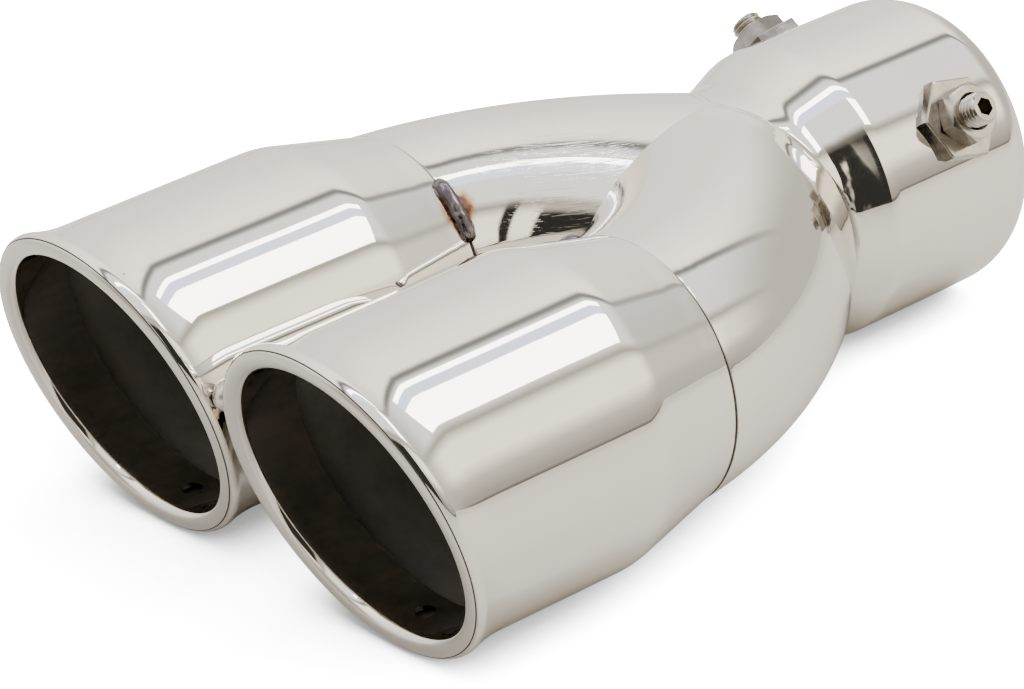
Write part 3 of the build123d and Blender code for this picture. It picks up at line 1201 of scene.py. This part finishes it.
class EXHAUST_TIP_OT_screws(bpy.types.Operator):
    """Two threaded clamp screws, each on its own body"""

    bl_idname = "exhaust_tip.screws"
    bl_label = "Clamp Screws"

    def execute(self, context):
        pipe = settings().pipe
        screw = settings().fastener
        tree = screw_tree()
        sizes = {label: getattr(screw, label.lower().replace(" ", "_")) for label in SCREW_SIZES}
        plating = plated_steel("plated_screw", side_shade=0.1)
        for name, side in SIDES.items():
            obj = grown("threaded_screw_" + name, tree, Material=plating, **sizes)
            turn = Matrix.Rotation(side * screw.place_angle, 4, "Y")
            rise = Matrix.Translation((0, 0, pipe.collar_radius + screw.standout))
            obj.data.transform(Matrix.Translation((0, -screw.setback, 0)) @ turn @ rise)
            tidy_mesh(obj.data, SCREW_SHARP)
            settle(obj, name + "_screw", "zinc_steel", "clamp_screw_" + name)
        return {"FINISHED"}


def bead_mesh(name, path, radius, ripple):
    """A rippled bead along a path across the Y axis, closed at both ends."""
    around = 28
    last = len(path) - 1
    work = bmesh.new()
    rings = []
    for k, (point, along) in enumerate(path):
        gone = k / last
        swell = sqrt(max(1 - (2 * gone - 1) ** 6, 0.0004))
        side = Vector((0, 1, 0))
        up = along.cross(side)
        ring = []
        for i in range(around):
            turn = 2 * pi * i / around
            way = side * cos(turn) + up * sin(turn)
            rough = 1 - ripple * (0.5 + 0.5 * noise.noise((point + way * radius) * 700))
            ring.append(work.verts.new(point + way * radius * swell * rough))
        rings.append(ring)
    for near, far in zip(rings, rings[1:]):
        for i in range(around):
            after = (i + 1) % around
            work.faces.new((near[i], near[after], far[after], far[i]))
    work.faces.new(rings[0])
    work.faces.new(rings[-1])
    mesh = bpy.data.meshes.new(name)
    work.to_mesh(mesh)
    work.free()
    tidy_mesh(mesh, WELD_SHARP)
    return mesh


class EXHAUST_TIP_OT_welds(bpy.types.Operator):
    """The tack between the lips and the bead left on each outlet's seam"""

    bl_idname = "exhaust_tip.welds"
    bl_label = "Raised Welds"

    def execute(self, context):
        pipe = settings().pipe
        weld = settings().weld
        plan = PipePlan(pipe)
        parts = 40
        path = []
        half = weld.bead_span / 2 + weld.bead_radius / pipe.leg_radius
        for k in range(parts + 1):
            turn = -weld.bead_angle + half * (2 * k / parts - 1)
            path.append((plan.on_seam(turn), Vector((cos(turn), 0, -sin(turn)))))
        mesh = bead_mesh("seam_bead_right", path, weld.bead_radius, ripple=0.15)
        finish = settings().finish
        burnt = weld_metal("burnt_bead", finish.weld, ripples=0.00004)
        for name, side in SIDES.items():
            skin = mesh if side > 0 else mirrored(mesh, "seam_bead_left")
            obj = show("seam_bead_" + name, skin, [burnt])
            settle(obj, TIP_BODY, "weld_metal", "seam_weld_" + name)
        lip_y = plan.seam_y + plan.mouth_y - weld.tack_height * tan(pipe.slash_angle)
        centre = Vector((0, lip_y + weld.tack_setback, weld.tack_height))
        work = bmesh.new()
        bmesh.ops.create_uvsphere(work, u_segments=40, v_segments=24, radius=weld.tack_radius)
        for vertex in work.verts:
            vertex.co *= 1 - 0.12 * (0.5 + 0.5 * noise.noise(vertex.co * 450))
            vertex.co += centre
        tack = bpy.data.meshes.new("tack_bead")
        work.to_mesh(tack)
        work.free()
        tidy_mesh(tack, WELD_SHARP)
        obj = show("tack_bead", tack, [weld_metal("bright_tack", finish.tack, ripples=0.00003)])
        settle(obj, TIP_BODY, "weld_metal", "outlet_tack_weld")
        return {"FINISHED"}


# Stage

# Shades of the tent by turn: from below over the left wall and the roof to the right wall
TENT_WALLS = (
    (0.2, (0.75, 0.74, 0.72)),
    (0.25, (0.8, 0.79, 0.77)),
    (0.342, (0.98, 0.96, 0.93)),
    (0.442, (1.4, 1.36, 1.3)),
    (0.463, (1.35, 1.31, 1.25)),
    (0.471, (0.22, 0.22, 0.22)),
    (0.479, (0.2, 0.2, 0.2)),
    (0.488, (0.95, 1.0, 1.1)),
    (0.59, (1.0, 1.0, 1.0)),
    (0.608, (0.35, 0.33, 0.3)),
    (0.63, (1.3, 1.22, 1.1)),
    (0.675, (1.35, 1.25, 1.1)),
    (0.705, (0.55, 0.52, 0.48)),
    (0.738, (0.32, 0.3, 0.27)),
    (0.744, (0.34, 0.32, 0.29)),
    (0.747, (0.1, 0.09, 0.08)),
    (0.752, (0.1, 0.09, 0.08)),
    (0.76, (0.9, 0.88, 0.85)),
)
# Openings in the right wall: front end, back end and top
TENT_OPENINGS = ((-0.015, 0.05, 0.59), (-0.8, -0.16, 0.605))


def tent_world(strength):
    """A light tent: pale walls, a dark roof seam and a dimmer right wall with two dark openings."""
    world = bpy.data.worlds.new("light_tent")
    world.use_nodes = True
    tree = world.node_tree
    tree.nodes.clear()
    ray = tree.nodes.new("ShaderNodeTexCoord").outputs["Generated"]
    x, y, z = parted(tree, ray)
    roll = calc(tree, "ADD", calc(tree, "DIVIDE", calc(tree, "ARCTAN2", x, z), 2 * pi), 0.5)
    walls = ramp(tree, roll, TENT_WALLS)
    shade = mixed(tree, spread(tree, y, 0.74, 0.95), walls, (0.48, 0.46, 0.43, 1))
    shade = mixed(tree, spread(tree, y, -0.8, -0.97), shade, (0.4, 0.38, 0.34, 1))
    for low, high, top in TENT_OPENINGS:
        half = (high - low) / 2
        away = calc(tree, "ABSOLUTE", calc(tree, "SUBTRACT", y, low + half))
        between = spread(tree, away, half + 0.015, half - 0.01)
        inside = times(tree, between, spread(tree, roll, top, top + 0.03))
        shade = mixed(tree, inside, shade, (0.022, 0.022, 0.021, 1))
    light = added(tree, "ShaderNodeBackground", Strength=strength, Color=shade)
    added(tree, "ShaderNodeOutputWorld", Surface=light.outputs[0])
    return world


def roof_panel(name, left, right, front, tone, glow):
    """One flat strip of the tent's roof window."""
    studio = settings().studio
    depth = studio.roof_back - front
    lamp = bpy.data.lights.new(name, "AREA")
    lamp.shape = "RECTANGLE"
    lamp.size = right - left
    lamp.size_y = depth
    lamp.color = tone
    lamp.energy = glow * pi * (right - left) * depth
    obj = bpy.data.objects.new(name, lamp)
    obj.location = ((left + right) / 2, (front + studio.roof_back) / 2, studio.roof_height)
    bpy.context.scene.collection.objects.link(obj)


def openness(tree, reach, towards):
    """How open the space above the table is within a reach, weighted towards a direction."""
    way = vector_calc(tree, "NORMALIZE", towards)
    node = added(tree, "ShaderNodeAmbientOcclusion", Distance=reach, Normal=way)
    node.samples = 16
    return node.outputs["AO"]


def white_table(tone):
    """A white table whose look to the camera is a glow, with a painted shadow where the tip comes close;
    other rays meet a plain white surface.
    """
    material, tree, surface, at = new_material("white_table")
    cloud = spread(tree, grain(tree, at, 3.0, 2.0), 0.3, 0.7)
    tree.links.new(mixed(tree, cloud, toned(tone, 0.99, 0.99, 0.99), tone), surface["Base Color"])
    surface["Roughness"].default_value = 0.35
    # Painted shadow: ambient occlusion lowers the glow near the tip, the wider shade lying to the left and
    # front of it
    contact = openness(tree, 0.02, (0.4, 0.05, 0.85))
    fall = openness(tree, 0.16, (0.7, 0.3, 0.6))
    near = spread(tree, contact, 0.3, 0.86, 0.06, 1.0)
    wide = spread(tree, fall, 0.3, 0.95, 0.2, 1.0)
    glow = times(tree, near, wide, 30.0)
    bright = added(tree, "ShaderNodeEmission", Color=(1, 0.995, 0.985, 1), Strength=glow)
    seen = tree.nodes.new("ShaderNodeLightPath").outputs["Is Camera Ray"]
    blend = tree.nodes.new("ShaderNodeMixShader")
    target = next(node for node in tree.nodes if node.type == "OUTPUT_MATERIAL")
    plain = next(node for node in tree.nodes if node.type == "BSDF_PRINCIPLED")
    tree.links.new(seen, blend.inputs[0])
    tree.links.new(plain.outputs[0], blend.inputs[1])
    tree.links.new(bright.outputs[0], blend.inputs[2])
    tree.links.new(blend.outputs[0], target.inputs[0])
    return material


class EXHAUST_TIP_OT_stage(bpy.types.Operator):
    """Camera at the photograph's view, white table and light tent"""

    bl_idname = "exhaust_tip.stage"
    bl_label = "Stage"

    def execute(self, context):
        pipe = settings().pipe
        studio = settings().studio
        plan = PipePlan(pipe)
        a, e, r = studio.azimuth, studio.elevation, studio.roll
        right = Vector((cos(a), sin(a), 0))
        up = Vector((-sin(e) * sin(a), sin(e) * cos(a), cos(e)))
        back = Vector((sin(a) * cos(e), -cos(a) * cos(e), sin(e)))
        turned = Matrix((right * cos(r) + up * sin(r), up * cos(r) - right * sin(r), back)).transposed()
        lens = bpy.data.cameras.new("camera")
        lens.lens = studio.lens
        lens.sensor_width = 36
        lens.clip_start = 0.05
        lens.clip_end = 50
        camera = bpy.data.objects.new("camera", lens)
        camera.matrix_world = Matrix.Translation(studio.eye) @ turned.to_4x4()
        context.scene.collection.objects.link(camera)
        context.scene.camera = camera
        front_y = plan.seam_y + plan.mouth_y + pipe.lip_radius * tan(pipe.slash_angle) + plan.lip_round
        wall = pipe.collar_radius - pipe.collar_bore
        rim_y = -sqrt(pipe.rim_round ** 2 - (pipe.rim_round - wall + pipe.rim_edge) ** 2)
        lean = (-pipe.collar_radius - studio.floor_front) / (rim_y - front_y)
        half = 12.0
        corners = []
        for x, y in ((-half, -half), (half, -half), (half, half), (-half, half)):
            corners.append(Vector((x, y, studio.floor_front + lean * (y - front_y))))
        mesh = bpy.data.meshes.new("table")
        mesh.from_pydata(corners, [], [(0, 1, 2, 3)])
        table = show("table", mesh, [white_table(studio.floor_tone)])
        context.scene.world = tent_world(studio.tent)
        front = studio.roof_front
        pane = studio.window_front
        roof_panel("roof_edge", left=0.02, right=0.07, front=front, tone=(1.0, 1.0, 1.0), glow=9.0)
        roof_panel("roof_blue", left=0.07, right=0.165, front=front, tone=(0.2, 0.45, 1.0), glow=0.9)
        roof_panel("roof_window", left=0.165, right=0.5, front=pane, tone=(1.0, 0.99, 0.97), glow=9.0)
        return {"FINISHED"}


class EXHAUST_TIP_PT_panel(bpy.types.Panel):
    """Lists the pieces of the exhaust tip"""

    bl_idname = "EXHAUST_TIP_PT_panel"
    bl_label = "Exhaust Tip"
    bl_space_type = "VIEW_3D"
    bl_region_type = "UI"
    bl_category = "Exhaust Tip"

    def draw(self, context):
        for operator in OPERATORS:
            self.layout.operator(operator.bl_idname)


GROUPS = (PipeSizes, FastenerSizes, WeldSizes, TipFinish, StudioLook, ExhaustTip)
OPERATORS = (
    EXHAUST_TIP_OT_collar,
    EXHAUST_TIP_OT_legs,
    EXHAUST_TIP_OT_outlets,
    EXHAUST_TIP_OT_nuts,
    EXHAUST_TIP_OT_screws,
    EXHAUST_TIP_OT_welds,
    EXHAUST_TIP_OT_stage,
)
CLASSES = (*GROUPS, *OPERATORS, EXHAUST_TIP_PT_panel)


def register():
    for item in CLASSES:
        bpy.utils.register_class(item)
    bpy.types.Scene.exhaust_tip = bpy.props.PointerProperty(type=ExhaustTip)


def unregister():
    del bpy.types.Scene.exhaust_tip
    for item in reversed(CLASSES):
        bpy.utils.unregister_class(item)


def main():
    register()
    bpy.ops.exhaust_tip.collar()
    bpy.ops.exhaust_tip.legs()
    bpy.ops.exhaust_tip.outlets()
    bpy.ops.exhaust_tip.nuts()
    bpy.ops.exhaust_tip.screws()
    bpy.ops.exhaust_tip.welds()
    bpy.ops.exhaust_tip.stage()


if __name__ == "__main__":
    main()
